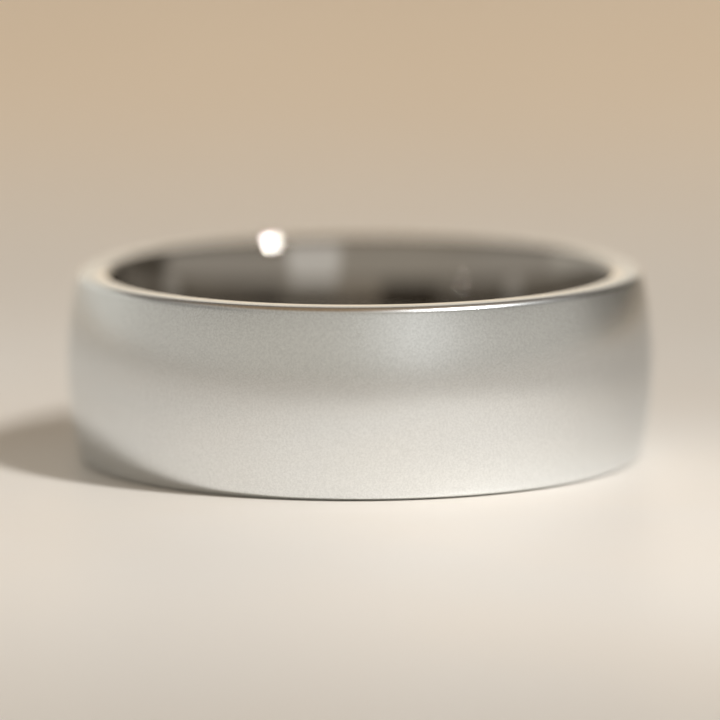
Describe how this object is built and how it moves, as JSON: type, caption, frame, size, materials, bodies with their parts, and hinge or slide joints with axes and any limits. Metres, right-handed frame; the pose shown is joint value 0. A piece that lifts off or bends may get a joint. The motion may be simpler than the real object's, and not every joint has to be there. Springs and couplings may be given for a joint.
{
  "type": "wedding band",
  "caption": "Plain domed ring of solid metal for a finger: satin outer face, polished rims and a polished comfort-fit bore.",
  "frame": {"origin": "on the finger's axis, halfway across the band's width", "axes": "+Z along the finger's axis; the band is a full turn round it, so X and Y are free, and +Z and -Z are alike"},
  "size_m": [0.022, 0.022, 0.007],
  "materials": {
    "band_metal": "fine satin on the dome and shoulders, mirror polish on the rims and in the bore"
  },
  "bodies": {
    "root": {"band": "band_metal"}
  },
  "joints": []
}
